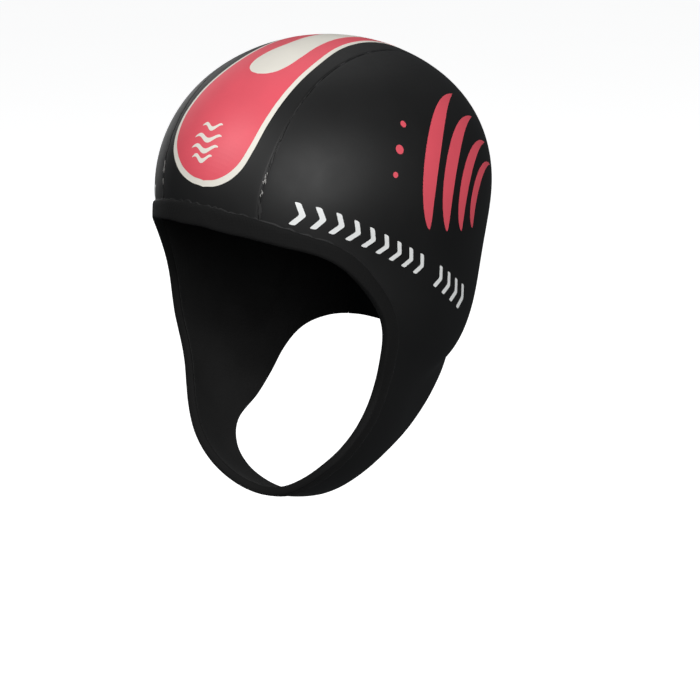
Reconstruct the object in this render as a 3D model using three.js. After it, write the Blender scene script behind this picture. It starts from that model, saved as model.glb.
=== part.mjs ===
// A neoprene diving cap with a chin strap, in the shape it has when it is worn.
// Millimetres, +Z up. The wearer faces -Y and the wearer's left is +X.
// The origin is the crown seat, where the top of the head meets the inside of the cap.

import * as THREE from 'three';

// Driving dimensions
const neopreneWall = 2.5;
const crownWidth = 160;
const crownLength = 198;
const wornHeight = 232;
const contourBlend = 11;
const centerPanelWidth = 67;
const seamGap = 0.3;
const hemWidth = 12;
const hemThickness = 1.8;
const hemClearance = 0.3;
const hemBevel = 0.7;

// Mesh fineness
const centerCells = 12;
const sideCells = 30;
const rows = 32;

// Stretched outer contour, as round bodies that melt into each other. Places and half sizes are
// shares: side and wide of half the crown width, back and long of half the crown length, down
// and tall of the worn height. Pitch is in degrees, chin down; taper narrows a body to the front.
const contour = [
  { body: 'crown', side: 0, back: -0.01, down: 0.31, wide: 1, long: 1, tall: 0.31, pitch: 0, taper: 0.08 },
  { body: 'cheeks', side: 0, back: -0.33, down: 0.585, wide: 0.825, long: 0.69, tall: 0.245, pitch: 0, taper: 0 },
  { body: 'jaw', side: 0, back: -0.29, down: 0.79, wide: 0.705, long: 0.56, tall: 0.24, pitch: 25, taper: 0 },
  { body: 'nape', side: 0, back: 0.175, down: 0.68, wide: 0.655, long: 0.52, tall: 0.36, pitch: 0, taper: 0 },
  { body: 'ears', side: 0.745, back: 0.185, down: 0.535, wide: 0.13, long: 0.265, tall: 0.14, pitch: 0, taper: 0 },
];

// Edges of the cap, seen from a pivot low inside the head whose axis points forward and up.
// Clock runs from 0 over the crown to 180 under the chin, and face and neck are the edges' angles
// from the axis, all in degrees. Hem is a share of the hem width.
const pivot = { back: -0.05, down: 0.79 };
const axisTilt = 20;
const edges = [
  { clock: 0, face: 27.6, neck: 147, hem: 0.85 },
  { clock: 15, face: 28.9, neck: 145.3, hem: 0.85 },
  { clock: 30, face: 34.1, neck: 140, hem: 0.82 },
  { clock: 45, face: 45.6, neck: 132.5, hem: 0.86 },
  { clock: 60, face: 54, neck: 125, hem: 0.84 },
  { clock: 75, face: 55.4, neck: 119, hem: 0.8 },
  { clock: 90, face: 55.7, neck: 113, hem: 0.75 },
  { clock: 105, face: 54.9, neck: 102.9, hem: 0.7 },
  { clock: 120, face: 53.8, neck: 87, hem: 0.67 },
  { clock: 135, face: 53.1, neck: 80.1, hem: 0.65 },
  { clock: 150, face: 54.3, neck: 78.4, hem: 0.65 },
  { clock: 165, face: 56.7, neck: 79.2, hem: 0.65 },
  { clock: 180, face: 58.5, neck: 80, hem: 0.65 },
];

// Clock of the face opening's own middle, which sits a little round on the head
const faceMiddle = 2;

// Width of the center panel as a share of its largest, from the brow to the nape
const centerWidths = [
  { along: 0, width: 0.87 },
  { along: 0.125, width: 0.985 },
  { along: 0.25, width: 1 },
  { along: 0.375, width: 0.99 },
  { along: 0.5, width: 0.975 },
  { along: 0.625, width: 0.96 },
  { along: 0.75, width: 0.94 },
  { along: 0.875, width: 0.91 },
  { along: 1, width: 0.87 },
];

const radians = THREE.MathUtils.degToRad;
const degrees = THREE.MathUtils.radToDeg;

const solids = contour.map((row) => ({
  centre: new THREE.Vector3(
    row.side * crownWidth / 2,
    row.back * crownLength / 2,
    neopreneWall - row.down * wornHeight,
  ),
  half: new THREE.Vector3(row.wide * crownWidth / 2, row.long * crownLength / 2, row.tall * wornHeight),
  pitch: radians(row.pitch),
  taper: row.taper,
}));

const pivotPoint = new THREE.Vector3(0, pivot.back * crownLength / 2, -pivot.down * wornHeight);
const tilt = radians(axisTilt);
const forward = new THREE.Vector3(0, -Math.cos(tilt), Math.sin(tilt));
const upward = new THREE.Vector3(0, Math.sin(tilt), Math.cos(tilt));

// Distance of a point from one round body, good close to its surface
function bodyDistance(solid, point) {
  let x = Math.abs(point.x) - solid.centre.x;
  const back = point.y - solid.centre.y;
  const rise = point.z - solid.centre.z;
  x /= 1 + solid.taper * back / solid.half.y;
  const y = back * Math.cos(solid.pitch) + rise * Math.sin(solid.pitch);
  const z = rise * Math.cos(solid.pitch) - back * Math.sin(solid.pitch);
  const scaled = Math.hypot(x / solid.half.x, y / solid.half.y, z / solid.half.z);
  const slope = Math.hypot(x / solid.half.x ** 2, y / solid.half.y ** 2, z / solid.half.z ** 2);
  return scaled * (scaled - 1) / slope;
}

// Distance from the outer surface of the panels, negative inside
function contourDistance(point) {
  const distances = solids.map((solid) => bodyDistance(solid, point));
  const nearest = Math.min(...distances);
  const sum = distances.reduce((total, d) => total + Math.exp((nearest - d) / contourBlend), 0);
  return nearest - contourBlend * Math.log(sum);
}

function contourNormal(point) {
  const step = 0.2;
  const slope = (axis) => {
    const ahead = point.clone().addScaledVector(axis, step);
    const behind = point.clone().addScaledVector(axis, -step);
    return contourDistance(ahead) - contourDistance(behind);
  };
  return new THREE.Vector3(
    slope(new THREE.Vector3(1, 0, 0)),
    slope(new THREE.Vector3(0, 1, 0)),
    slope(new THREE.Vector3(0, 0, 1)),
  ).normalize();
}

// Halves the range until the test flips between its two ends
function bisect(low, high, isLow) {
  const halvings = 40;
  let from = low;
  let to = high;
  for (let i = 0; i < halvings; i += 1) {
    const middle = (from + to) / 2;
    if (isLow(middle)) from = middle;
    else to = middle;
  }
  return (from + to) / 2;
}

// Point of the outer surface at a clock and turn, in degrees
function surfacePoint(clock, turn) {
  const direction = forward.clone().multiplyScalar(Math.cos(radians(turn)));
  direction.addScaledVector(upward, Math.sin(radians(turn)) * Math.cos(radians(clock)));
  direction.x += Math.sin(radians(turn)) * Math.sin(radians(clock));
  const reach = bisect(0, crownLength + wornHeight, (distance) => (
    contourDistance(pivotPoint.clone().addScaledVector(direction, distance)) < 0
  ));
  return pivotPoint.clone().addScaledVector(direction, reach);
}

// The same point moved out along the surface normal
function liftedPoint(clock, turn, lift) {
  const point = surfacePoint(clock, turn);
  return point.addScaledVector(contourNormal(point), lift);
}

// Smooth value of one column of an evenly spaced table, level at both ends of the table
function tableValue(table, key, column, at) {
  const last = table.length - 1;
  const place = at / table[1][key];
  const row = Math.min(Math.floor(place), last - 1);
  const part = place - row;
  const value = (i) => table[i < 0 ? -i : i > last ? 2 * last - i : i][column];
  const [a, b, c, d] = [value(row - 1), value(row), value(row + 1), value(row + 2)];
  const bend = (c - a) * part + (2 * a - 5 * b + 4 * c - d) * part ** 2 + (3 * b - a - 3 * c + d) * part ** 3;
  return b + bend / 2;
}

// Value of the edge table at a clock, alike on both sides of a middle
function edgeValue(column, clock, middle) {
  const away = Math.abs(clock - middle);
  return tableValue(edges, 'clock', column, Math.min(away, 360 - away));
}

// Turn at a distance along the surface behind the finished face edge. The surface leans away from
// the turn, so a first guess for the hem's width shows how far a turn really goes there.
function turnBehindFace(clock, distance) {
  const face = edgeValue('face', clock, faceMiddle);
  const edge = surfacePoint(clock, face);
  const guess = degrees(hemWidth / edge.distanceTo(pivotPoint));
  const covered = surfacePoint(clock, face + guess).distanceTo(edge);
  return face + guess * distance / covered;
}

// Turn of a panel point, whose share runs from 0 under the hem to 1 at the neck edge
function panelTurn(clock, share) {
  const front = turnBehindFace(clock, hemThickness + hemClearance);
  return front + (edgeValue('neck', clock, 0) - front) * share;
}

// Distance of the panels' surface from the middle plane. Side is 1 for the wearer's left and -1
// for the right.
function reachAcross(side, clock, share) {
  return side * surfacePoint(side * clock, panelTurn(side * clock, share)).x;
}

// Clock at which that distance has a value, on the upper side for the crown seam or on the lower
// side for the seam under the chin
function crownClock(side, share, across) {
  return bisect(0, 90, (clock) => reachAcross(side, clock, share) < across);
}

function chinClock(side, share, across) {
  return bisect(90, 180, (clock) => reachAcross(side, clock, share) > across);
}

// Closed mesh of a grid of points whose last index runs around a section. The first index runs
// around a ring when the grid is closed, and is capped at both ends when it isn't. Each cell is
// split along its shorter diagonal, so that mirrored pieces get mirrored facets.
function solidFromGrid(sections, isRing) {
  const count = sections[0].length;
  const points = sections.flat();
  const positions = points.flatMap((point) => point.toArray());
  const triangles = [];
  const addCell = (a, b, c, d) => {
    if (points[a].distanceTo(points[c]) < points[b].distanceTo(points[d])) triangles.push(a, b, c, a, c, d);
    else triangles.push(b, c, d, b, d, a);
  };
  const steps = isRing ? sections.length : sections.length - 1;
  for (let i = 0; i < steps; i += 1) {
    const here = i * count;
    const next = ((i + 1) % sections.length) * count;
    for (let j = 0; j < count; j += 1) {
      const k = (j + 1) % count;
      addCell(here + j, next + j, next + k, here + k);
    }
  }
  if (!isRing) {
    const end = (sections.length - 1) * count;
    for (let j = 0; j < count / 2 - 1; j += 1) {
      const across = count - 1 - j;
      addCell(j, j + 1, across - 1, across);
      addCell(end + across, end + across - 1, end + j + 1, end + j);
    }
  }
  const geometry = new THREE.BufferGeometry();
  geometry.setAttribute('position', new THREE.Float32BufferAttribute(positions, 3));
  geometry.setIndex(triangles);
  geometry.computeVertexNormals();
  return geometry;
}

// Sheet of neoprene between two clocks, which may change from the face edge to the neck edge
function panelGeometry(cells, clockRange) {
  const ranges = Array.from({ length: rows + 1 }, (_, i) => clockRange(i / rows));
  const sections = [];
  for (let cell = 0; cell <= cells; cell += 1) {
    const outside = [];
    const inside = [];
    ranges.forEach(([from, to], i) => {
      const clock = from + (to - from) * cell / cells;
      const turn = panelTurn(clock, i / rows);
      outside.push(liftedPoint(clock, turn, 0));
      inside.push(liftedPoint(clock, turn, -neopreneWall));
    });
    sections.push([...outside, ...inside.reverse()]);
  }
  return solidFromGrid(sections, false);
}

// Distance of the crown seams from the middle plane
function seamOffset(share) {
  return centerPanelWidth / 2 * tableValue(centerWidths, 'along', 'width', share);
}

function leftRange(share) {
  return [crownClock(1, share, seamOffset(share) + seamGap / 2), chinClock(1, share, seamGap / 2)];
}

function rightRange(share) {
  return [-chinClock(-1, share, seamGap / 2), -crownClock(-1, share, seamOffset(share) + seamGap / 2)];
}

function centerRange(share) {
  const across = seamOffset(share) - seamGap / 2;
  return [-crownClock(-1, share, across), crownClock(1, share, across)];
}

// Stations around the face opening, in line with the panels' own
function hemClocks() {
  const half = (side) => {
    const seam = crownClock(side, 0, seamOffset(0));
    const clocks = [];
    for (let i = 1; i <= centerCells / 2; i += 1) clocks.push(side * seam * i / (centerCells / 2));
    for (let i = 1; i < sideCells; i += 1) clocks.push(side * (seam + (180 - seam) * i / sideCells));
    return clocks;
  };
  return [...half(-1).reverse(), 0, ...half(1), 180];
}

// Bound edge of the face opening: an outer leg on the panels and a lip around their front edge
function hemGeometry() {
  const top = hemClearance + hemThickness;
  const sections = hemClocks().map((clock) => {
    const width = hemWidth * edgeValue('hem', clock, faceMiddle);
    const outline = [
      [0, -neopreneWall],
      [0, top - hemBevel],
      [hemBevel, top],
      [width / 2, top],
      [width - hemBevel, top],
      [width, top - hemBevel],
      [width, hemClearance],
      [width / 2, hemClearance],
      [hemThickness, hemClearance],
      [hemThickness, -neopreneWall],
    ];
    return outline.map(([behind, lift]) => liftedPoint(clock, turnBehindFace(clock, behind), lift));
  });
  return solidFromGrid(sections, true);
}

function material(color, roughness) {
  return new THREE.MeshStandardMaterial({ color, roughness, metalness: 0 });
}

function piece(name, geometry, finish) {
  const mesh = new THREE.Mesh(geometry, finish);
  mesh.name = name;
  return mesh;
}

const smoothSkin = material(0x16171a, 0.42);
const boundEdge = material(0x0d0d0f, 0.8);

const cap = new THREE.Group();
cap.add(piece('center_panel', panelGeometry(centerCells, centerRange), smoothSkin));
cap.add(piece('side_panel_left', panelGeometry(sideCells, leftRange), smoothSkin));
cap.add(piece('side_panel_right', panelGeometry(sideCells, rightRange), smoothSkin));
cap.add(piece('face_hem', hemGeometry(), boundEdge));

export default cap;
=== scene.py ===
"""A neoprene diving cap in the shape it has when it is worn: its surfaces, seams and prints.

Lengths are millimetres until a mesh is made. +Z is up, the wearer faces -Y and the wearer's left is +X.
"""
import math

import bpy
import numpy as np
from mathutils import Matrix, Vector
from mathutils.geometry import delaunay_2d_cdt


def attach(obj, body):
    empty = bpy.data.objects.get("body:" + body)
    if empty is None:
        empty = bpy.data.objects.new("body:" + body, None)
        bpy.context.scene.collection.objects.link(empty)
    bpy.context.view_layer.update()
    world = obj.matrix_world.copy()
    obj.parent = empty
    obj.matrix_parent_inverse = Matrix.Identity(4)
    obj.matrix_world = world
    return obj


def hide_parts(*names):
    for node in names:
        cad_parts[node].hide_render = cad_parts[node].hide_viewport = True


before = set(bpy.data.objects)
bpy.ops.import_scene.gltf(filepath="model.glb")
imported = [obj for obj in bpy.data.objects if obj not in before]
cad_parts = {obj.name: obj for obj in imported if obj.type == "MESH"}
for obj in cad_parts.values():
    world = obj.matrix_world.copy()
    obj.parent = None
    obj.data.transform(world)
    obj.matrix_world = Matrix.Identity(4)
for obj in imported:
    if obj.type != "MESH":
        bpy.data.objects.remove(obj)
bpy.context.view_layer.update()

MM = 0.001

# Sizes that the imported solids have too
WALL = 2.5
CROWN_WIDTH = 160.0
CROWN_LENGTH = 198.0
WORN_HEIGHT = 232.0
BLEND = 11.0
CENTER_PANEL_WIDTH = 67.0
SEAM_GAP = 0.3
HEM_WIDTH = 12.0
HEM_THICKNESS = 1.8
HEM_CLEARANCE = 0.3

# Middle of the crown body below the top, as a share of the worn height
CROWN_SINK = 0.31

# Named round bodies of the head contour: side and wide are shares of half the crown width, back and
# long of half the crown length, down and tall of the worn height, and pitch is in degrees
CONTOUR = [
    {"body": "crown", "side": 0, "back": -0.01, "down": CROWN_SINK,
     "wide": 1, "long": 1, "tall": 0.31, "pitch": 0, "taper": 0.08},
    {"body": "cheeks", "side": 0, "back": -0.33, "down": 0.585,
     "wide": 0.825, "long": 0.69, "tall": 0.245, "pitch": 0, "taper": 0},
    {"body": "jaw", "side": 0, "back": -0.29, "down": 0.79,
     "wide": 0.705, "long": 0.56, "tall": 0.24, "pitch": 25, "taper": 0},
    {"body": "nape", "side": 0, "back": 0.175, "down": 0.68,
     "wide": 0.655, "long": 0.52, "tall": 0.36, "pitch": 0, "taper": 0},
    {"body": "ears", "side": 0.745, "back": 0.185, "down": 0.535,
     "wide": 0.13, "long": 0.265, "tall": 0.14, "pitch": 0, "taper": 0},
]

# Edges of the cap in degrees around and from the pivot's axis, and the hem's share of its width
EDGES = [
    {"clock": 0, "face": 27.6, "neck": 147, "hem": 0.85},
    {"clock": 15, "face": 28.9, "neck": 145.3, "hem": 0.85},
    {"clock": 30, "face": 34.1, "neck": 140, "hem": 0.82},
    {"clock": 45, "face": 45.6, "neck": 132.5, "hem": 0.86},
    {"clock": 60, "face": 54, "neck": 125, "hem": 0.84},
    {"clock": 75, "face": 55.4, "neck": 119, "hem": 0.8},
    {"clock": 90, "face": 55.7, "neck": 113, "hem": 0.75},
    {"clock": 105, "face": 54.9, "neck": 102.9, "hem": 0.7},
    {"clock": 120, "face": 53.8, "neck": 87, "hem": 0.67},
    {"clock": 135, "face": 53.1, "neck": 80.1, "hem": 0.65},
    {"clock": 150, "face": 54.3, "neck": 78.4, "hem": 0.65},
    {"clock": 165, "face": 56.7, "neck": 79.2, "hem": 0.65},
    {"clock": 180, "face": 58.5, "neck": 80, "hem": 0.65},
]

# Clock of the face opening's own middle, which sits a little round on the head
FACE_MIDDLE = 2

# Widths of the center panel from its brow end to its nape end, as shares of its widest
CENTER_WIDTHS = [
    {"along": 0, "width": 0.87},
    {"along": 0.125, "width": 0.985},
    {"along": 0.25, "width": 1},
    {"along": 0.375, "width": 0.99},
    {"along": 0.5, "width": 0.975},
    {"along": 0.625, "width": 0.96},
    {"along": 0.75, "width": 0.94},
    {"along": 0.875, "width": 0.91},
    {"along": 1, "width": 0.87},
]

# Pivot inside the head that all the edges are measured from, as shares of the half length and of
# the worn height, and its axis, which points forward and up through the face opening
PIVOT_BACK = -0.05
PIVOT_DOWN = 0.79
AXIS_TILT = math.radians(20)
PIVOT = np.array([0, PIVOT_BACK * CROWN_LENGTH / 2, -PIVOT_DOWN * WORN_HEIGHT])
FORWARD = np.array([0, -math.cos(AXIS_TILT), math.sin(AXIS_TILT)])
UPWARD = np.array([0, math.sin(AXIS_TILT), math.cos(AXIS_TILT)])
CROWN_CENTRE = np.array([0, 0, WALL - CROWN_SINK * WORN_HEIGHT])

# Halvings of a search along a ray, and around the head
RAY_HALVINGS = 34
CLOCK_HALVINGS = 30


# Surface of the stretched cap

def body_distance(row, points):
    """Signed distance, about right near the surface, from one tapered and pitched ellipsoid."""
    units = np.array([CROWN_WIDTH / 2, CROWN_LENGTH / 2, WORN_HEIGHT])
    centre = units * [row["side"], row["back"], -row["down"]] + [0, 0, WALL]
    half = units * [row["wide"], row["long"], row["tall"]]
    pitch = math.radians(row["pitch"])
    back = points[..., 1] - centre[1]
    rise = points[..., 2] - centre[2]
    x = (np.abs(points[..., 0]) - centre[0]) / (1 + row["taper"] * back / half[1])
    y = back * math.cos(pitch) + rise * math.sin(pitch)
    z = rise * math.cos(pitch) - back * math.sin(pitch)
    scaled = np.sqrt((x / half[0]) ** 2 + (y / half[1]) ** 2 + (z / half[2]) ** 2)
    slope = np.sqrt((x / half[0] ** 2) ** 2 + (y / half[1] ** 2) ** 2 + (z / half[2] ** 2) ** 2)
    return scaled * (scaled - 1) / np.maximum(slope, 1e-9)


def contour_distance(points):
    """Distance from the bodies, which flow into one another."""
    stack = np.stack([body_distance(row, points) for row in CONTOUR])
    nearest = stack.min(axis=0)
    return nearest - BLEND * np.log(np.exp((nearest - stack) / BLEND).sum(axis=0))


def contour_normal(points):
    step = 0.2
    slope = []
    for axis in np.eye(3):
        slope.append(contour_distance(points + axis * step) - contour_distance(points - axis * step))
    normal = np.stack(slope, axis=-1)
    return normal / np.linalg.norm(normal, axis=-1, keepdims=True)


def cast(origin, directions):
    """Points where rays from inside the head leave the surface."""
    low = np.zeros(directions.shape[:-1])
    high = low + CROWN_LENGTH + WORN_HEIGHT
    for _ in range(RAY_HALVINGS):
        middle = (low + high) / 2
        inside = contour_distance(origin + directions * middle[..., None]) < 0
        low = np.where(inside, middle, low)
        high = np.where(inside, high, middle)
    return origin + directions * low[..., None]


def surface_point(clock, turn):
    """Point on the surface at degrees around the axis from the crown, and degrees away from it."""
    clock, turn = np.broadcast_arrays(np.radians(clock), np.radians(turn))
    directions = np.cos(turn)[..., None] * FORWARD + (np.sin(turn) * np.cos(clock))[..., None] * UPWARD
    directions[..., 0] += np.sin(turn) * np.sin(clock)
    return cast(PIVOT, directions)


def relief(points):
    """Slight unevenness of a sheet that is stretched over a head, in millimetres."""
    x, y, z = points[..., 0], points[..., 1], points[..., 2]
    wide = np.sin(x / 17 + 1.3 * np.sin(y / 29)) * np.sin(y / 23 + 0.7) * np.sin(z / 19 + x / 41)
    fine = np.sin(x / 7.3 + z / 9.1) * np.sin(y / 8.7 - z / 11.3 + 2)
    return 0.16 * wide + 0.03 * fine


def lifted(points, lift):
    """Points moved off the uneven surface along its normal."""
    return points + contour_normal(points) * (relief(points) + lift)[..., None]


def table_value(table, key, column, at):
    """Smooth value of one column of an evenly spaced table, level at both of its ends."""
    values = np.array([row[column] for row in table], float)
    last = len(table) - 1
    place = np.asarray(at, float) / table[1][key]
    row = np.clip(np.floor(place).astype(int), 0, last - 1)
    part = place - row

    def value(index):
        index = np.abs(index)
        return values[np.where(index > last, 2 * last - index, index)]

    a, b, c, d = value(row - 1), value(row), value(row + 1), value(row + 2)
    bend = (c - a) * part + (2 * a - 5 * b + 4 * c - d) * part ** 2 + (3 * b - a - 3 * c + d) * part ** 3
    return b + bend / 2


def edge_value(column, clock, middle):
    away = np.abs(clock - middle)
    return table_value(EDGES, "clock", column, np.minimum(away, 360 - away))


def turn_behind_face(clock, distance):
    """Turn at a distance along the surface, which leans away from the turn, behind the face edge."""
    face = edge_value("face", clock, FACE_MIDDLE)
    edge = surface_point(clock, face)
    guess = np.degrees(HEM_WIDTH / np.linalg.norm(edge - PIVOT, axis=-1))
    covered = np.linalg.norm(surface_point(clock, face + guess) - edge, axis=-1)
    return face + guess * distance / covered


def panel_turn(clock, share):
    """Turn at a share of the way from the panels' face end to the neck edge."""
    front = turn_behind_face(clock, HEM_THICKNESS + HEM_CLEARANCE)
    return front + (edge_value("neck", clock, 0) - front) * share


def clock_across(side, share, across, low, high):
    """Clock between two bounds, from 0 to 180 on either side, where the panels reach a distance
    from the middle plane; side is 1 for the wearer's left and -1 for the right."""
    low = np.full(np.shape(share), float(low))
    high = np.full(np.shape(share), float(high))
    rises = high.mean() <= 90
    for _ in range(CLOCK_HALVINGS):
        middle = (low + high) / 2
        reach = side * surface_point(side * middle, panel_turn(side * middle, share))[..., 0]
        inside = (reach < across) == rises
        low = np.where(inside, middle, low)
        high = np.where(inside, high, middle)
    return side * (low + high) / 2


def seam_offset(share):
    """Distance of a crown seam from the middle plane."""
    return CENTER_PANEL_WIDTH / 2 * table_value(CENTER_WIDTHS, "along", "width", share)


# Mesh helpers

def make_object(name, points, faces, materials, face_material=None, smooth=True):
    mesh = bpy.data.meshes.new(name)
    mesh.from_pydata((np.asarray(points) * MM).tolist(), [], [tuple(int(i) for i in f) for f in faces])
    for material in materials:
        mesh.materials.append(material)
    if face_material is not None:
        mesh.polygons.foreach_set("material_index", np.asarray(face_material, dtype=np.int32))
    mesh.polygons.foreach_set("use_smooth", [smooth] * len(mesh.polygons))
    mesh.update()
    mesh.validate()
    piece = bpy.data.objects.new(name, mesh)
    bpy.context.scene.collection.objects.link(piece)
    return piece


def grid_faces(sections, count, closed_ring):
    """Quads of a tube whose sections have count points each, run around the section."""
    steps = sections if closed_ring else sections - 1
    i, j = np.meshgrid(np.arange(steps), np.arange(count), indexing="ij")
    k = (j + 1) % count
    following = (i + 1) % sections
    quads = np.stack([i * count + j, following * count + j, following * count + k, i * count + k], axis=-1)
    return quads.reshape(-1, 4), j.reshape(-1)


def tube(name, sections, materials, closed_ring=True, section_materials=None):
    """Closed piece from an array of sections (section, point, xyz); open tubes get flat ends."""
    total, count = sections.shape[:2]
    faces, side = grid_faces(total, count, closed_ring)
    faces = [tuple(f) for f in faces]
    kinds = [0] * len(faces) if section_materials is None else [section_materials[j] for j in side]
    if not closed_ring:
        faces.append(tuple(range(count)))
        faces.append(tuple(reversed(range((total - 1) * count, total * count))))
        kinds += [kinds[0], kinds[0]]
    return make_object(name, sections.reshape(-1, 3), faces, materials, kinds)


def edge_spaced(count, near):
    """Shares from 0 to 1 with extra ones close to both ends, where near is a list of shares."""
    inner = np.linspace(near[-1], 1 - near[-1], count)[1:-1]
    return np.concatenate([near, inner, 1 - np.array(near[::-1])])


# Panels

# Depth of the rounding at a cut edge, and the distances of its rows of points from that edge
ROLL = 0.38
ROLL_STEPS = [0, 0.06, 0.2, 0.42, 0.75, 1.2]

# Shares of a panel's length with extra rows of points close to its neck edge
NECK_ROWS = [0.9965, 0.9985, 0.9995, 1.0]


def rolled_lift(distance):
    """Height lost close to a cut edge, whose corner is rounded."""
    part = np.clip(1 - distance / ROLL_STEPS[-1], 0, 1)
    return -ROLL * (1 - np.sqrt(np.maximum(1 - part ** 2.2, 0)))


def panel(name, replaced, columns, rows, low_clock, high_clock, materials):
    """Sheet between two seams: low and high clock are functions of the share from face to neck."""
    shares = np.concatenate([np.linspace(0, 1, rows)[:-1], NECK_ROWS])
    low = low_clock(shares)
    high = high_clock(shares)
    middle = np.linspace(0, 1, 25)[:, None]
    guide_clock = low + (high - low) * middle
    guide = surface_point(guide_clock, panel_turn(guide_clock, shares[None, :]))
    width = np.linalg.norm(np.diff(guide, axis=0), axis=-1).sum(axis=0)
    typical = np.median(width)
    near = [step / typical for step in ROLL_STEPS]
    across = edge_spaced(columns, near)[:, None]
    clock = low + (high - low) * across
    points = surface_point(clock, panel_turn(clock, shares[None, :]))
    from_seam = np.minimum(across, 1 - across) * width[None, :]
    along = np.linalg.norm(np.diff(points, axis=1), axis=-1)
    to_neck = np.zeros(points.shape[:2])
    to_neck[:, :-1] = np.cumsum(along[:, ::-1], axis=1)[:, ::-1]
    lift = rolled_lift(from_seam) + rolled_lift(to_neck)
    outside = lifted(points, lift)
    inside = lifted(points, np.full(points.shape[:2], -WALL))
    sections = np.concatenate([outside, inside[:, ::-1]], axis=1)
    count = len(shares)
    kinds = [0] * (count - 1) + [2] + [1] * (count - 1) + [2]
    piece = tube(name, sections, materials, closed_ring=False, section_materials=kinds)
    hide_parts(replaced)
    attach(piece, "root")


# Camera and light

# Camera that was fitted to the photo's outline, with the scale at the middle of the view
PHOTO_PIXELS = 700
CAMERA_DISTANCE = 965.9
CAMERA_AZIMUTH = math.radians(35.6)
CAMERA_ELEVATION = math.radians(16.14)
CAMERA_ROLL = math.radians(-1.15)
PIXELS_PER_MM = 1.86
VIEW_CENTRE = np.array([0.0, -6.0, -164.4])
VIEW_SHIFT_RIGHT = 16.2

# Floor below the cap, and the point that the lights look at
FLOOR_DROP = 130
FLOOR_REACH = 8000.0
LIGHT_TARGET = np.array([0.0, 0.0, -90.0])

# Soft lights: direction and distance from the target and size in millimetres, and power in watts
LIGHTS = [
    {"name": "key_softbox", "toward": (0.80, -0.52, 0.38), "away": 1500, "size": (900, 900), "power": 18.5},
    {"name": "front_fill", "toward": (-0.3, -0.9, 1.0), "away": 1600, "size": (700, 700), "power": 12},
    {"name": "top_softbox", "toward": (-0.25, 0.5, 1.0), "away": 1300, "size": (900, 900), "power": 2},
    {"name": "rear_fill", "toward": (-0.93, 0.5, 0.2), "away": 1500, "size": (700, 900), "power": 3},
]


def camera_axes():
    azimuth, elevation, roll = CAMERA_AZIMUTH, CAMERA_ELEVATION, CAMERA_ROLL
    back = np.array([
        math.sin(azimuth) * math.cos(elevation),
        -math.cos(azimuth) * math.cos(elevation),
        math.sin(elevation),
    ])
    level = np.array([math.cos(azimuth), math.sin(azimuth), 0])
    plumb = np.cross(back, level)
    right = level * math.cos(roll) + plumb * math.sin(roll)
    up = plumb * math.cos(roll) - level * math.sin(roll)
    return right, up, back


def place_camera():
    right, up, back = camera_axes()
    eye = VIEW_CENTRE + right * VIEW_SHIFT_RIGHT + back * CAMERA_DISTANCE
    data = bpy.data.cameras.new("photo_camera")
    data.sensor_width = 36
    data.sensor_fit = "HORIZONTAL"
    data.lens = PIXELS_PER_MM * CAMERA_DISTANCE / PHOTO_PIXELS * data.sensor_width
    data.clip_end = 20
    camera = bpy.data.objects.new("photo_camera", data)
    turned = Matrix([list(row) for row in np.stack([right, up, back], axis=1)]).to_4x4()
    turned.translation = Vector(eye * MM)
    camera.matrix_world = turned
    bpy.context.scene.collection.objects.link(camera)
    bpy.context.scene.camera = camera


def soft_light(row):
    data = bpy.data.lights.new(row["name"], "AREA")
    data.shape = "RECTANGLE"
    data.size = row["size"][0] * MM
    data.size_y = row["size"][1] * MM
    data.energy = row["power"]
    light = bpy.data.objects.new(row["name"], data)
    toward = np.array(row["toward"], float) / np.linalg.norm(row["toward"])
    light.location = Vector((LIGHT_TARGET + toward * row["away"]) * MM)
    light.rotation_euler = Vector(toward).to_track_quat("Z", "Y").to_euler()
    bpy.context.scene.collection.objects.link(light)


def build_stage():
    floor_level = -WORN_HEIGHT - FLOOR_DROP
    quarters = [(-1, -1), (1, -1), (1, 1), (-1, 1)]
    corners = [(x * FLOOR_REACH, y * FLOOR_REACH, floor_level) for x, y in quarters]
    floor = make_object("studio_floor", corners, [(0, 1, 2, 3)], [floor_material()], smooth=False)
    floor.visible_glossy = False
    floor.visible_diffuse = False
    build_world()
    for row in LIGHTS:
        soft_light(row)


def build_world():
    """Dim room around the object, seen as a pale backdrop."""
    world = bpy.data.worlds.new("studio")
    world.use_nodes = True
    tree = world.node_tree
    room = tree.nodes["Background"]
    room.inputs["Color"].default_value = (0.9, 0.95, 1.0, 1)
    room.inputs["Strength"].default_value = 0.085
    backdrop = tree.nodes.new("ShaderNodeBackground")
    backdrop.inputs["Color"].default_value = (1, 1, 1, 1)
    backdrop.inputs["Strength"].default_value = 1.0
    rays = tree.nodes.new("ShaderNodeLightPath")
    mix = tree.nodes.new("ShaderNodeMixShader")
    tree.links.new(rays.outputs["Is Camera Ray"], mix.inputs["Fac"])
    tree.links.new(room.outputs[0], mix.inputs[1])
    tree.links.new(backdrop.outputs[0], mix.inputs[2])
    tree.links.new(mix.outputs[0], tree.nodes["World Output"].inputs["Surface"])
    bpy.context.scene.world = world
    bpy.context.scene.view_settings.view_transform = "Standard"


# Materials

def node_material(name):
    material = bpy.data.materials.new(name)
    material.use_nodes = True
    tree = material.node_tree
    shader = tree.nodes["Principled BSDF"]
    return material, tree, shader


def noise(tree, scale, detail=3.0, roughness=0.5):
    place = tree.nodes.new("ShaderNodeTexCoord")
    texture = tree.nodes.new("ShaderNodeTexNoise")
    texture.inputs["Scale"].default_value = scale
    texture.inputs["Detail"].default_value = detail
    texture.inputs["Roughness"].default_value = roughness
    tree.links.new(place.outputs["Object"], texture.inputs["Vector"])
    return texture


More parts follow.
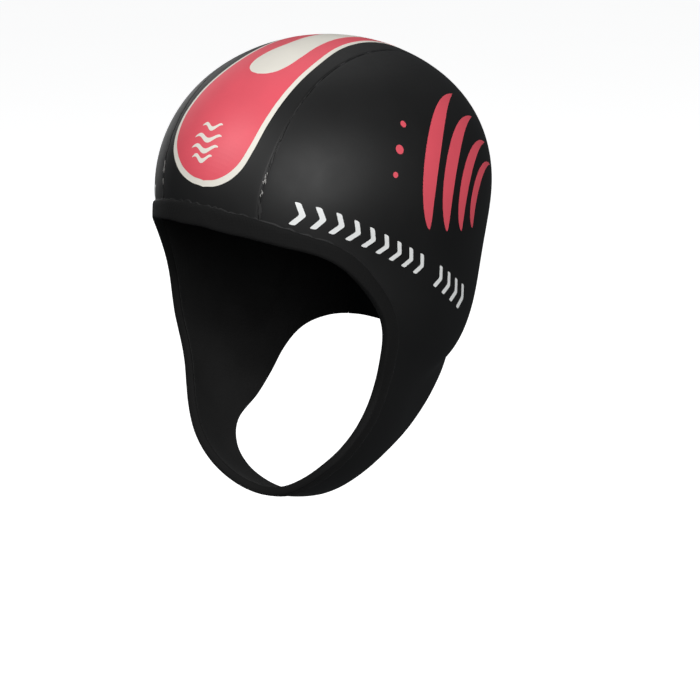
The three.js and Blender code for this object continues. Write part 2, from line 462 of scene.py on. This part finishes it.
def ramp(tree, source, low, high, start=0.3, end=0.7):
    """Colour ramp between two greys or colours over a span of its source."""
    node = tree.nodes.new("ShaderNodeValToRGB")
    node.color_ramp.elements[0].position = start
    node.color_ramp.elements[1].position = end
    node.color_ramp.elements[0].color = low
    node.color_ramp.elements[1].color = high
    tree.links.new(source, node.inputs["Fac"])
    return node


def grey(value):
    return (value, value, value, 1)


def add_bump(tree, shader, height, strength, distance):
    bump = tree.nodes.new("ShaderNodeBump")
    bump.inputs["Strength"].default_value = strength
    bump.inputs["Distance"].default_value = distance * MM
    tree.links.new(height, bump.inputs["Height"])
    tree.links.new(bump.outputs["Normal"], shader.inputs["Normal"])


def skin_material():
    """Smooth-skin neoprene: satin black with cloudy gloss and a very fine grain."""
    material, tree, shader = node_material("smooth_skin_neoprene")
    clouds = noise(tree, 14, 4)
    tone = ramp(tree, clouds.outputs["Fac"], grey(0.003), grey(0.0052))
    tree.links.new(tone.outputs["Color"], shader.inputs["Base Color"])
    painted_highlights = noise(tree, 33, 6, 0.6)
    gloss = ramp(tree, painted_highlights.outputs["Fac"], grey(0.5), grey(0.6))
    tree.links.new(gloss.outputs["Color"], shader.inputs["Roughness"])
    shader.inputs["Specular IOR Level"].default_value = 0.4
    grain = noise(tree, 2600, 2)
    add_bump(tree, shader, grain.outputs["Fac"], 0.25, 0.05)
    return material


def knit_material(name, tone, rows_per_mm):
    """Stretch jersey: fine crossed ribs, matte, with a soft sheen."""
    material, tree, shader = node_material(name)
    place = tree.nodes.new("ShaderNodeTexCoord")
    heights = []
    for axis in ("X", "Y", "Z"):
        wave = tree.nodes.new("ShaderNodeTexWave")
        wave.wave_type = "BANDS"
        wave.bands_direction = axis
        wave.inputs["Scale"].default_value = rows_per_mm * 1000 / 6.2832 * 2
        wave.inputs["Distortion"].default_value = 0.6
        tree.links.new(place.outputs["Object"], wave.inputs["Vector"])
        heights.append(wave.outputs["Fac"])
    total = heights[0]
    for height in heights[1:]:
        add = tree.nodes.new("ShaderNodeMath")
        add.operation = "ADD"
        tree.links.new(total, add.inputs[0])
        tree.links.new(height, add.inputs[1])
        total = add.outputs[0]
    add_bump(tree, shader, total, 0.35, 0.12)
    clouds = noise(tree, 40, 4)
    colour = ramp(tree, clouds.outputs["Fac"], grey(tone * 0.8), grey(tone * 1.25))
    tree.links.new(colour.outputs["Color"], shader.inputs["Base Color"])
    shader.inputs["Roughness"].default_value = 0.82
    shader.inputs["Specular IOR Level"].default_value = 0.22
    shader.inputs["Sheen Weight"].default_value = 0.015
    shader.inputs["Sheen Roughness"].default_value = 0.5
    return material


def foam_material():
    """Cut edge of the closed-cell sheet."""
    material, tree, shader = node_material("cut_foam")
    cells = tree.nodes.new("ShaderNodeTexVoronoi")
    cells.inputs["Scale"].default_value = 2800
    place = tree.nodes.new("ShaderNodeTexCoord")
    tree.links.new(place.outputs["Object"], cells.inputs["Vector"])
    add_bump(tree, shader, cells.outputs["Distance"], 0.5, 0.1)
    tone = ramp(tree, cells.outputs["Distance"], grey(0.012), grey(0.03))
    tree.links.new(tone.outputs["Color"], shader.inputs["Base Color"])
    shader.inputs["Roughness"].default_value = 0.9
    return material


def cement_material(name, scuffed, pale):
    """Dried seam cement: glossier than the skin, with paler scuffs where it is rubbed."""
    material, tree, shader = node_material(name)
    patches = noise(tree, 95, 5, 0.65)
    first, last = scuffed
    tone = ramp(tree, patches.outputs["Fac"], grey(0.006), grey(pale), first, last)
    tree.links.new(tone.outputs["Color"], shader.inputs["Base Color"])
    ripple = noise(tree, 700, 3)
    add_bump(tree, shader, ripple.outputs["Fac"], 0.4, 0.15)
    shader.inputs["Roughness"].default_value = 0.55
    shader.inputs["Specular IOR Level"].default_value = 0.35
    return material


def print_material(name, colour, shade):
    """Rubber transfer print: even colour, a little mottled, slightly rough."""
    material, tree, shader = node_material(name)
    clouds = noise(tree, 60, 5)
    low = tuple(c * shade for c in colour) + (1,)
    tone = ramp(tree, clouds.outputs["Fac"], low, tuple(colour) + (1,))
    tree.links.new(tone.outputs["Color"], shader.inputs["Base Color"])
    grain = noise(tree, 1800, 2)
    add_bump(tree, shader, grain.outputs["Fac"], 0.2, 0.04)
    shader.inputs["Roughness"].default_value = 0.5
    return material


def floor_material():
    material, tree, shader = node_material("pale_floor")
    clouds = noise(tree, 3, 2)
    tone = ramp(tree, clouds.outputs["Fac"], grey(0.6), grey(0.63))
    tree.links.new(tone.outputs["Color"], shader.inputs["Base Color"])
    shader.inputs["Roughness"].default_value = 0.8
    shader.inputs["Specular IOR Level"].default_value = 0.0
    shader.inputs["Emission Color"].default_value = (1, 1, 1, 1)
    shader.inputs["Emission Strength"].default_value = 0.9
    return material


SKIN = skin_material()
LINING = knit_material("jersey_lining", 0.01, 1.1)
BINDING = knit_material("binding_jersey", 0.004, 1.4)
FOAM = foam_material()
SEAM_CEMENT = cement_material("seam_cement", (0.5, 0.72), 0.05)
EDGE_CEMENT = cement_material("edge_cement", (0.45, 0.75), 0.012)
PRINT_RED = print_material("print_red", (0.78, 0.09, 0.125), 0.93)
PRINT_CREAM = print_material("print_cream", (0.80, 0.77, 0.69), 0.95)
PRINT_WHITE = print_material("print_white", (0.88, 0.89, 0.88), 0.96)
FLECK = print_material("cement_fleck", (0.30, 0.29, 0.28), 0.5)
# Painted highlight: a grey paler than the skin for strips beside the crown seams, standing in for the sheen
# there
SEAM_HIGHLIGHT_PAINT = print_material("painted_seam_highlight", (0.016, 0.0155, 0.0155), 0.4)


# Panels of the cap

def crown_seam_clock(side, share, offset):
    return clock_across(side, share, seam_offset(share) + offset, 0, 90)


def chin_seam_clock(side, share, offset):
    return clock_across(side, share, np.full(np.shape(share), offset), 90, 180)


def build_panels():
    finishes = [SKIN, LINING, FOAM]
    half = SEAM_GAP / 2
    panel("center_skin", "center_panel", 36, 170,
          lambda share: crown_seam_clock(-1, share, -half),
          lambda share: crown_seam_clock(1, share, -half), finishes)
    panel("side_skin_left", "side_panel_left", 150, 110,
          lambda share: crown_seam_clock(1, share, half),
          lambda share: chin_seam_clock(1, share, half), finishes)
    panel("side_skin_right", "side_panel_right", 150, 110,
          lambda share: chin_seam_clock(-1, share, half),
          lambda share: crown_seam_clock(-1, share, half), finishes)


# Bound edge of the face opening

# Waves around the opening that make a line look cut by hand: rate and weight
DRIFT_WAVES = [(5, 0.3), (13, 0.25), (29, 0.2), (47, 0.15), (83, 0.1)]
HEM_DRIFT = 0.5


def wander(clock, seed):
    """Irregular drift of a hand-trimmed line around the opening, between about -1 and 1."""
    angle = np.radians(clock)
    waves = 0
    for index, (rate, weight) in enumerate(DRIFT_WAVES):
        waves = waves + weight * np.sin(rate * angle + seed * (index + 1) * 1.7)
    return waves


def opening_clocks(count):
    return np.linspace(-180, 180, count, endpoint=False)


def hem_width(clock):
    return HEM_WIDTH * edge_value("hem", clock, FACE_MIDDLE) + HEM_DRIFT * wander(clock, 1.0)


def opening_point(clock, behind, lift):
    return lifted(surface_point(clock, turn_behind_face(clock, behind)), lift)


# Rounding of the binding's lip, its lip's extra height, and how much thinner its far edge is
LIP_ROUNDING = 0.9
LIP_RISE = 0.15
BINDING_TAPER = 1.1


def build_binding():
    """Folded strip around the edge: each section point is a distance behind the face edge, a
    height above the sheet and a share of the binding's width."""
    clocks = opening_clocks(560)
    width = hem_width(clocks)
    top = HEM_CLEARANCE + HEM_THICKNESS
    lip = top + WALL
    outline = []
    for angle in np.linspace(-90, 90, 9):
        turned = math.radians(angle)
        height = -WALL + lip / 2 + lip / 2 * math.sin(turned)
        outline.append((LIP_ROUNDING - LIP_ROUNDING * math.cos(turned), height, 0))
    for share in (0.1, 0.25, 0.4, 0.55, 0.7, 0.85):
        outline.append((0, top + LIP_RISE - BINDING_TAPER * share ** 1.3, share))
    outline += [(-0.7, top - 1.05, 1), (-0.25, top - 1.25, 1), (-0.05, top - 1.55, 1), (0, 0.1, 1)]
    outline += [(0, 0.02, 0.6), (HEM_THICKNESS, 0.02, 0), (HEM_THICKNESS, -WALL, 0)]
    sections = []
    for behind, lift, share in outline:
        distance = np.maximum(behind + share * width, 0)
        puff = 0.1 * wander(clocks * 1.3, 2.0 + share) * min(share * 4, 1)
        sections.append(opening_point(clocks, distance, np.full(clocks.shape, lift) + puff))
    piece = tube("face_binding", np.stack(sections, axis=1), [BINDING])
    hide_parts("face_hem")
    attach(piece, "root")


# Section of the squeezed-out cement: share of its spread, and height in millimetres
FRINGE_SECTION = [(0, 0.22), (0.35, 0.19), (0.8, 0.12), (1, 0.02), (1, -0.15), (0, -0.15)]


def build_binding_cement():
    """Thin uneven squeeze-out of cement along the upper edge of the binding."""
    clocks = opening_clocks(1400)
    width = hem_width(clocks)
    scallops = np.abs(np.sin(np.radians(clocks) * 44 + 2.5 * wander(clocks, 3.0)))
    spread = 0.35 + 1.1 * scallops * (0.75 + 0.5 * wander(clocks * 1.7, 5.0))
    sections = []
    for share, lift in FRINGE_SECTION:
        drift = share * np.maximum(spread, 0.2)
        sections.append(opening_point(clocks, width - 0.3 + drift, np.full(clocks.shape, lift)))
    piece = tube("binding_cement", np.stack(sections, axis=1), [EDGE_CEMENT])
    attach(piece, "root")


# Seams

# Section of a bead: share of half its width to one side, and share of its height
BEAD_SECTION = [(-1, -0.45), (-0.7, 0.1), (-0.25, 0.8), (0.25, 0.85), (0.7, 0.15), (1, -0.45), (0, -1.5)]


def bead(name, points, width, height, material):
    """Uneven low bead that lies along a line of surface points."""
    forward = np.gradient(points, axis=0)
    forward /= np.linalg.norm(forward, axis=-1, keepdims=True)
    normal = contour_normal(points)
    sideways = np.cross(normal, forward)
    run = np.concatenate([[0], np.cumsum(np.linalg.norm(np.diff(points, axis=0), axis=-1))])
    uneven = 0.3 * np.sin(run / 1.9) + 0.3 * np.sin(run / 3.7 + 1) + 0.4 * np.sin(run / 0.83 + 2)
    sections = []
    for side, rise in BEAD_SECTION:
        swell = 1 + 0.3 * uneven * np.sign(side)
        across = sideways * (side * width / 2 * swell)[:, None]
        up = normal * (relief(points) + rise * height * (1 + 0.45 * uneven) - 0.12)[:, None]
        sections.append(points + across + up)
    piece = tube(name, np.stack(sections, axis=1), [material], closed_ring=False)
    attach(piece, "root")


def build_seams():
    shares = np.linspace(0.012, 0.997, 420)
    for name, side in (("crown_seam_left", 1), ("crown_seam_right", -1)):
        clock = crown_seam_clock(side, shares, 0)
        points = surface_point(clock, panel_turn(clock, shares))
        bead(name, points, width=0.7, height=0.16, material=SEAM_CEMENT)
    shares = np.linspace(0.1, 0.99, 60)
    points = surface_point(180.0, panel_turn(np.full(shares.shape, 180.0), shares))
    bead("chin_seam", points, width=1.2, height=0.25, material=EDGE_CEMENT)


# Prints

# Height of a print above the sheet, and how far it goes into the sheet
PRINT_THICKNESS = 0.12
PRINT_SINK = 0.08


def densify(outline, step):
    """Closed outline with points no further apart than step."""
    points = []
    for start, end in zip(outline, np.roll(outline, -1, axis=0)):
        count = max(1, int(np.ceil(np.linalg.norm(end - start) / step)))
        for index in range(count):
            points.append(start + (end - start) * index / count)
    return np.array(points)


def inside_outline(points, outline):
    x, y = points[:, 0], points[:, 1]
    result = np.zeros(len(points), bool)
    for (x0, y0), (x1, y1) in zip(outline, np.roll(outline, -1, axis=0)):
        crosses = (y0 > y) != (y1 > y)
        with np.errstate(divide="ignore", invalid="ignore"):
            result ^= crosses & (x < (x1 - x0) * (y - y0) / (y1 - y0) + x0)
    return result


def clear_of_outline(points, outline, distance):
    gaps = np.linalg.norm(points[:, None, :] - outline[None, :, :], axis=-1)
    return gaps.min(axis=1) > distance


def print_mesh(outline, step):
    """Flat triangles of one outline: border points, then inner ones on a grid."""
    border = densify(np.asarray(outline, float), step)
    low, high = border.min(axis=0), border.max(axis=0)
    columns = np.arange(low[0], high[0], step)
    rows = np.arange(low[1], high[1], step)
    grid = np.stack(np.meshgrid(columns, rows), axis=-1).reshape(-1, 2)
    grid = grid[inside_outline(grid, border)]
    grid = grid[clear_of_outline(grid, border, step * 0.6)]
    points = [Vector(p) for p in np.concatenate([border, grid])]
    loop = list(range(len(border)))
    result = delaunay_2d_cdt(points, [], [loop], 1, 1e-6)
    return np.array([tuple(p) for p in result[0]]), [tuple(f) for f in result[2]]


def border_edges(faces):
    """Directed edges that only one face has."""
    edges = set()
    for face in faces:
        for a, b in zip(face, face[1:] + face[:1]):
            if (b, a) in edges:
                edges.remove((b, a))
            else:
                edges.add((a, b))
    return sorted(edges)


def print_piece(name, outlines, chart, lift, material, step=2.0):
    """Thin closed print whose flat outlines are laid on the surface by a chart."""
    all_points = []
    all_faces = []
    offset = 0
    for outline in outlines:
        flat, faces = print_mesh(outline, step)
        on_surface = chart(flat)
        top = lifted(on_surface, np.full(len(flat), lift))
        base = lifted(on_surface, np.full(len(flat), -PRINT_SINK))
        a, b, c = top[list(faces[0])][:3]
        outward = contour_normal(a[None])[0]
        if np.dot(np.cross(b - a, c - a), outward) < 0:
            faces = [tuple(reversed(face)) for face in faces]
        count = len(flat)
        all_points += [top, base]
        all_faces += [tuple(i + offset for i in face) for face in faces]
        all_faces += [tuple(i + offset + count for i in reversed(face)) for face in faces]
        for start, end in border_edges(faces):
            all_faces.append((end + offset, start + offset, start + offset + count, end + offset + count))
        offset += 2 * count
    piece = make_object(name, np.concatenate(all_points), all_faces, [material], smooth=False)
    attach(piece, "root")


# Millimetres that a degree of turn stands for in an outline
TURN_SCALE = 2.7

# Turns at the two ends of the crown seams
SEAM_FRONT = 29.3
SEAM_BACK = 145


def crown_chart(flat):
    """Lays (across, turn times its scale) on the crown, across measured from the middle plane."""
    across = flat[:, 0]
    turn = flat[:, 1] / TURN_SCALE
    low = np.zeros(len(flat))
    high = np.full(len(flat), 90.0)
    for _ in range(CLOCK_HALVINGS):
        middle = (low + high) / 2
        inside = surface_point(middle, turn)[:, 0] < np.abs(across)
        low = np.where(inside, middle, low)
        high = np.where(inside, high, middle)
    return surface_point(low * np.sign(across), turn)


# Printed stripe over the crown: its reach to either side of the middle plane, in millimetres, at
# turns in degrees from the brow to the nape
STRIPE = [
    {"turn": 32.7, "right": -2.0, "left": 2.0},
    {"turn": 33.2, "right": 5.5, "left": 8.5},
    {"turn": 34.5, "right": 12.5, "left": 14.5},
    {"turn": 37, "right": 20.0, "left": 20.3},
    {"turn": 40.5, "right": 26.2, "left": 23.7},
    {"turn": 45, "right": 28.8, "left": 25.4},
    {"turn": 50, "right": 26.8, "left": 26.3},
    {"turn": 55, "right": 22.3, "left": 26.6},
    {"turn": 60, "right": 18.8, "left": 26.4},
    {"turn": 68, "right": 17.0, "left": 24.0},
    {"turn": 80, "right": 17.5, "left": 22.5},
    {"turn": 100, "right": 20.5, "left": 21.5},
    {"turn": 116, "right": 22.5, "left": 22.5},
    {"turn": 123, "right": 22.5, "left": 22.5},
    {"turn": 128, "right": 20.5, "left": 20.5},
    {"turn": 132, "right": 16.5, "left": 16.5},
    {"turn": 134.6, "right": 11.5, "left": 11.5},
    {"turn": 136, "right": 6.0, "left": 6.0},
    {"turn": 136.5, "right": 0.0, "left": 0.0},
]

# Cream tongue on the crown part of the stripe, measured in the same way
TONGUE = [
    {"turn": 53.3, "right": -4.0, "left": 4.0},
    {"turn": 53.7, "right": 0.5, "left": 8.5},
    {"turn": 55, "right": 4.6, "left": 12.8},
    {"turn": 57, "right": 6.2, "left": 15.0},
    {"turn": 60, "right": 5.2, "left": 15.7},
    {"turn": 64, "right": 2.2, "left": 14.9},
    {"turn": 69, "right": 1.6, "left": 13.7},
    {"turn": 80, "right": 4.0, "left": 12.0},
    {"turn": 92, "right": 7.0, "left": 10.0},
    {"turn": 104, "right": 9.0, "left": 9.5},
    {"turn": 109, "right": 9.0, "left": 9.0},
    {"turn": 112.5, "right": 7.7, "left": 7.7},
    {"turn": 115, "right": 5.4, "left": 5.4},
    {"turn": 116.4, "right": 2.8, "left": 2.8},
    {"turn": 116.8, "right": 0.0, "left": 0.0},
]


def stripe_outline(rows):
    """Smooth closed outline up one side of a stripe and down the other."""
    turns = np.array([row["turn"] for row in rows]) * TURN_SCALE
    sides = []
    for key, sign in (("left", 1), ("right", -1)):
        reach = np.array([row[key] for row in rows], float) * sign
        run = np.concatenate([[0], np.cumsum(np.hypot(np.diff(turns), np.diff(reach)))])
        fine = np.linspace(0, run[-1], 220)
        sides.append(np.stack([smooth_curve(run, reach, fine), smooth_curve(run, turns, fine)], axis=1))
    return np.concatenate([sides[0], sides[1][::-1][1:-1]])


def smooth_curve(knots, values, at):
    """Piecewise cubic through unevenly spaced values with slopes from their neighbours."""
    slopes = np.gradient(values, knots)
    index = np.clip(np.searchsorted(knots, at, side="right") - 1, 0, len(knots) - 2)
    span = knots[index + 1] - knots[index]
    t = (at - knots[index]) / span
    rise = 3 * t ** 2 - 2 * t ** 3
    leave = (t ** 3 - 2 * t ** 2 + t) * span * slopes[index]
    arrive = (t ** 3 - t ** 2) * span * slopes[index + 1]
    return values[index] * (1 - rise) + values[index + 1] * rise + leave + arrive


def inset(outline, distance):
    """Outline moved inwards; it runs counter-clockwise or clockwise as the given one does."""
    ahead = np.roll(outline, -1, axis=0) - np.roll(outline, 1, axis=0)
    ahead /= np.linalg.norm(ahead, axis=1, keepdims=True)
    sideways = np.stack([-ahead[:, 1], ahead[:, 0]], axis=1)
    following = np.roll(outline, -1, axis=0)
    area = np.sum(outline[:, 0] * following[:, 1] - outline[:, 1] * following[:, 0])
    return outline + sideways * distance * np.sign(area)


def wave_line(centre, length, swing, thickness, phase):
    """Outline of a short tapered wavy stroke across the stripe."""
    t = np.linspace(0, 1, 40)
    x = centre[0] + (t - 0.5) * length
    y = centre[1] + swing * np.sin(t * 2.5 * math.pi + phase)
    half = thickness / 2 * np.sqrt(np.sin(np.pi * np.clip(t, 0.015, 0.985)))
    upper = np.stack([x, y + half], axis=1)
    lower = np.stack([x, y - half], axis=1)[::-1]
    return np.concatenate([upper, lower])


# Width of the cream border around the red field
STRIPE_BORDER = 2.3

# Height of each coloured layer above the layer below it
LAYER = 0.07

# Wave marks on the front of the stripe: turn, and length, swing and thickness in millimetres
WAVES = [
    {"turn": 36.7, "length": 12, "swing": 1.2, "thick": 1.9},
    {"turn": 38.2, "length": 16, "swing": 1.3, "thick": 2.1},
    {"turn": 39.9, "length": 16, "swing": 1.3, "thick": 2.1},
    {"turn": 41.8, "length": 12, "swing": 1.2, "thick": 2.0},
]
WAVES_ASIDE = -2
WAVES_PHASE = 0.4


def build_stripe():
    outer = stripe_outline(STRIPE)
    field = inset(densify(outer, 1.0), STRIPE_BORDER)
    tongue = stripe_outline(TONGUE)
    marks = []
    for row in WAVES:
        centre = (WAVES_ASIDE, row["turn"] * TURN_SCALE)
        marks.append(wave_line(centre, row["length"], row["swing"], row["thick"], WAVES_PHASE))
    top = PRINT_THICKNESS + 2 * LAYER
    print_piece("stripe_border", [outer], crown_chart, PRINT_THICKNESS, PRINT_CREAM)
    print_piece("stripe_field", [field], crown_chart, PRINT_THICKNESS + LAYER, PRINT_RED)
    print_piece("stripe_tongue", [tongue], crown_chart, top, PRINT_CREAM)
    print_piece("stripe_waves", marks, crown_chart, top, PRINT_CREAM, 0.8)


# Millimetres that a degree around the crown stands for
SIDE_SCALE = 1.55


def side_chart(side):
    """Lays (around, up), in millimetres at the crown's girth, on one side of the cap."""
    def chart(flat):
        around = np.radians(flat[:, 0] / SIDE_SCALE)
        up = np.radians(flat[:, 1] / SIDE_SCALE)
        directions = np.stack([
            side * np.cos(up) * np.sin(around),
            -np.cos(up) * np.cos(around),
            np.sin(up),
        ], axis=1)
        return cast(CROWN_CENTRE, directions)
    return chart


# Middle line of the row of chevrons: degrees around the crown from the brow, and degrees up
CHEVRON_LINE = [
    {"around": 27, "up": -0.8},
    {"around": 37.8, "up": -4.2},
    {"around": 50.4, "up": -10.8},
    {"around": 63.4, "up": -18.5},
    {"around": 77.2, "up": -26.1},
    {"around": 87.7, "up": -31.5},
    {"around": 97.7, "up": -36.2},
    {"around": 110, "up": -40.4},
    {"around": 122, "up": -43},
]
CHEVRON_PITCH = 9.8
CHEVRON_HEIGHT = 10.5
CHEVRON_STROKE = 3.1
CHEVRON_REACH = 3.8
CHEVRON_ROUNDING = 0.9
CHEVRONS_BEFORE_GAP = 9
CHEVRONS = 13


def rounded(corners, radius):
    """Outline with its corners cut by short curves."""
    points = []
    for before, corner, after in zip(np.roll(corners, 1, axis=0), corners, np.roll(corners, -1, axis=0)):
        start = corner + (before - corner) / np.linalg.norm(before - corner) * radius
        end = corner + (after - corner) / np.linalg.norm(after - corner) * radius
        for t in np.linspace(0, 1, 5):
            points.append(start * (1 - t) ** 2 + corner * 2 * t * (1 - t) + end * t ** 2)
    return np.array(points)


def chevron_outline(place, along):
    """Rounded arrowhead stroke that points along the row."""
    across = np.array([-along[1], along[0]])
    half = CHEVRON_HEIGHT / 2
    stroke = CHEVRON_STROKE
    tip = CHEVRON_REACH
    shape = [(0, half), (stroke, half), (tip + stroke, 0), (stroke, -half), (0, -half), (tip, 0)]
    return rounded(np.array([place + along * a + across * b for a, b in shape]), CHEVRON_ROUNDING)


def chevron_row():
    around = np.array([row["around"] for row in CHEVRON_LINE], float) * SIDE_SCALE
    up = np.array([row["up"] for row in CHEVRON_LINE], float) * SIDE_SCALE
    run = np.concatenate([[0], np.cumsum(np.hypot(np.diff(around), np.diff(up)))])
    outlines = []
    for index in range(CHEVRONS + 1):
        if index == CHEVRONS_BEFORE_GAP:
            continue
        place = index * CHEVRON_PITCH
        here = np.array([smooth_curve(run, around, place), smooth_curve(run, up, place)])
        ahead = np.array([smooth_curve(run, around, place + 1), smooth_curve(run, up, place + 1)]) - here
        outlines.append(chevron_outline(here, ahead / np.linalg.norm(ahead)))
    return outlines


# Swept blades on the side: each arc's centre in degrees, radius in millimetres, end angles in
# degrees and thickness in millimetres
BLADES = [
    {"around": 113, "up": -5, "radius": 57, "start": 192, "end": 84, "thick": 11},
    {"around": 114, "up": -7, "radius": 44, "start": 196, "end": 78, "thick": 9.5},
    {"around": 115, "up": -9, "radius": 32, "start": 200, "end": 72, "thick": 8},
    {"around": 116, "up": -10, "radius": 21.5, "start": 206, "end": 66, "thick": 6.5},
]

# Loose drops ahead of the blades
DROPS = [
    {"around": 66, "up": 17, "radius": 2.6},
    {"around": 71, "up": 26, "radius": 2.0},
    {"around": 62.5, "up": 8.5, "radius": 1.6},
]


def blade_outline(row):
    """Crescent that is thickest before its middle and runs out to a point at both ends."""
    t = np.linspace(0, 1, 60)
    angle = np.radians(row["start"] + (row["end"] - row["start"]) * t)
    swell = row["thick"] * np.sin(np.pi * t ** 0.75) ** 0.8
    centre = np.array([row["around"] * SIDE_SCALE, row["up"] * SIDE_SCALE])
    arm = np.stack([np.cos(angle), np.sin(angle)], axis=1)
    outer = centre + arm * (row["radius"] + swell * 0.5)[:, None]
    inner = centre + arm * (row["radius"] - swell * 0.5)[:, None]
    return np.concatenate([outer, inner[::-1][1:-1]])


def drop_outline(row):
    angle = np.linspace(0, 2 * math.pi, 20, endpoint=False)
    centre = np.array([row["around"] * SIDE_SCALE, row["up"] * SIDE_SCALE])
    return centre + row["radius"] * np.stack([np.cos(angle), np.sin(angle)], axis=1)


# Dried cement flecks at the brow end of the crown seams, and pale strips beside them that are painted
# highlights: turn along the seam, distance across it, and the length and width of each fleck or strip in
# millimetres
FLECKS = [
    {"turn": 39.3, "across": 0.2, "long": 1.0, "wide": 0.35},
    {"turn": 38.8, "across": -0.1, "long": 1.3, "wide": 0.5},
    {"turn": 38.3, "across": 0.3, "long": 1.5, "wide": 0.8},
    {"turn": 37.9, "across": -0.3, "long": 1.0, "wide": 0.5},
    {"turn": 36.7, "across": 0.2, "long": 1.3, "wide": 0.6},
    {"turn": 36.2, "across": -0.2, "long": 0.9, "wide": 0.4},
]
# Painted highlights: pale strips beside the seams that stand in for the sheet's sheen, not for cement
PAINTED_SEAM_HIGHLIGHTS = [
    {"turn": 34.6, "across": 0.3, "long": 5.6, "wide": 1.3},
    {"turn": 41.6, "across": 0.2, "long": 7.0, "wide": 0.5},
    {"turn": 45.4, "across": 0.1, "long": 6.0, "wide": 0.4},
]


def fleck_outline(row, side, seed):
    """Ragged patch that lies along a crown seam."""
    share = np.array([(row["turn"] - SEAM_FRONT) / (SEAM_BACK - SEAM_FRONT)])
    middle = side * (seam_offset(share)[0] + row["across"])
    angle = np.linspace(0, 2 * math.pi, 26, endpoint=False)
    ragged = 1 + 0.28 * np.sin(3 * angle + seed) + 0.22 * np.sin(7 * angle + 2.3 * seed)
    across = middle + ragged * row["wide"] / 2 * np.cos(angle)
    along = row["turn"] * TURN_SCALE + ragged * row["long"] / 2 * np.sin(angle)
    return np.stack([across, along], axis=1)


FLECK_LIFT = 0.24
PAINTED_HIGHLIGHT_LIFT = 0.16


def build_flecks():
    for name, side in (("left", 1), ("right", -1)):
        flecks = [fleck_outline(row, side, 1.9 * index) for index, row in enumerate(FLECKS)]
        # The second set is painted highlight strips beside the seam
        painted_highlights = [fleck_outline(row, side, 0.7 + index) for index, row in enumerate(PAINTED_SEAM_HIGHLIGHTS)]
        print_piece(f"seam_flecks_{name}", flecks, crown_chart, FLECK_LIFT, FLECK, step=0.3)
        print_piece(f"seam_painted_highlights_{name}", painted_highlights, crown_chart, PAINTED_HIGHLIGHT_LIFT, SEAM_HIGHLIGHT_PAINT, step=0.5)


def build_side_prints():
    for name, side in (("left", 1), ("right", -1)):
        chart = side_chart(side)
        row = chevron_row()
        swept = [blade_outline(blade) for blade in BLADES] + [drop_outline(drop) for drop in DROPS]
        print_piece(f"side_chevrons_{name}", row, chart, PRINT_THICKNESS, PRINT_WHITE, 1.2)
        print_piece(f"side_blades_{name}", swept, chart, PRINT_THICKNESS, PRINT_RED, 1.6)


place_camera()
build_stage()
build_panels()
build_binding()
build_binding_cement()
build_seams()
build_stripe()
build_side_prints()
build_flecks()
